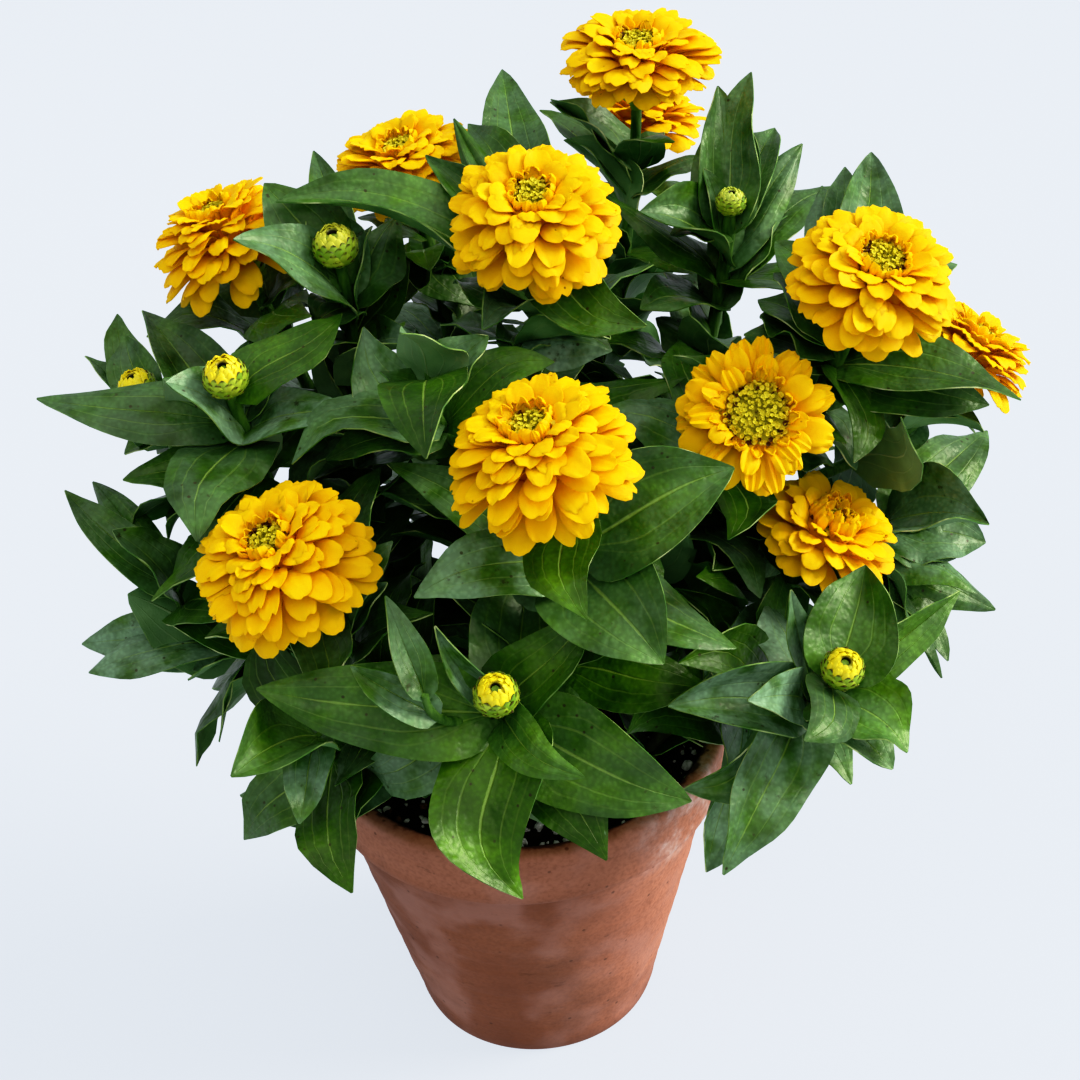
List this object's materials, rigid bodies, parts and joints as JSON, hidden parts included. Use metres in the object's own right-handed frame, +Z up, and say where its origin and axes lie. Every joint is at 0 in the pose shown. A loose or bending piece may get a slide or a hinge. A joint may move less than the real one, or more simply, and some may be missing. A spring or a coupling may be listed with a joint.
{
  "type": "potted zinnia",
  "caption": "Potted zinnia: a terracotta pot of soil with branching leafy stems, golden yellow blooms and green buds.",
  "frame": {"origin": "middle of the pot's flat base, on the surface it stands on", "axes": "+Z up along the pot's axis, +X to the right and +Y away from the viewer as the plant is pictured"},
  "size_m": [0.3566, 0.3312, 0.3673],
  "materials": {
    "clay": "unglazed terracotta, dry and matte",
    "soil": "dark potting soil with pale grains",
    "leaf": "dark green, dusty and slightly rough",
    "petal": "golden yellow, soft satin",
    "disc": "olive yellow florets, matte",
    "crown": "greenish yellow young petals, satin"
  },
  "bodies": {
    "root": {"pot": "clay", "soil": "soil", "leafy_stem_front": "leaf", "leafy_stem_front_left": "leaf", "leafy_stem_left": "leaf", "leafy_stem_back_left": "leaf", "leafy_stem_middle_back": "leaf", "leafy_stem_middle": "leaf", "leafy_stem_back": "leaf", "leafy_stem_back_right": "leaf", "leafy_stem_right": "leaf", "leafy_stem_inner_right": "leaf", "leafy_stem_front_right": "leaf", "bloom_centre_petals": "petal", "bloom_centre_disc": "disc", "bloom_upper_petals": "petal", "bloom_upper_disc": "disc", "bloom_lower_left_petals": "petal", "bloom_lower_left_disc": "disc", "bloom_left_petals": "petal", "bloom_left_disc": "disc", "bloom_back_left_petals": "petal", "bloom_back_left_disc": "disc", "bloom_crown_petals": "petal", "bloom_crown_disc": "disc", "bloom_back_petals": "petal", "bloom_back_disc": "disc", "bloom_right_petals": "petal", "bloom_right_disc": "disc", "bloom_far_right_petals": "petal", "bloom_far_right_disc": "disc", "bloom_inner_right_petals": "petal", "bloom_inner_right_disc": "disc", "bloom_lower_right_petals": "petal", "bloom_lower_right_disc": "disc", "bud_front_crown": "crown", "bud_front_right_crown": "crown", "bud_left_crown": "crown", "bud_far_left_crown": "crown", "bud_back_left_crown": "crown", "bud_back_right_crown": "crown"}
  },
  "joints": []
}
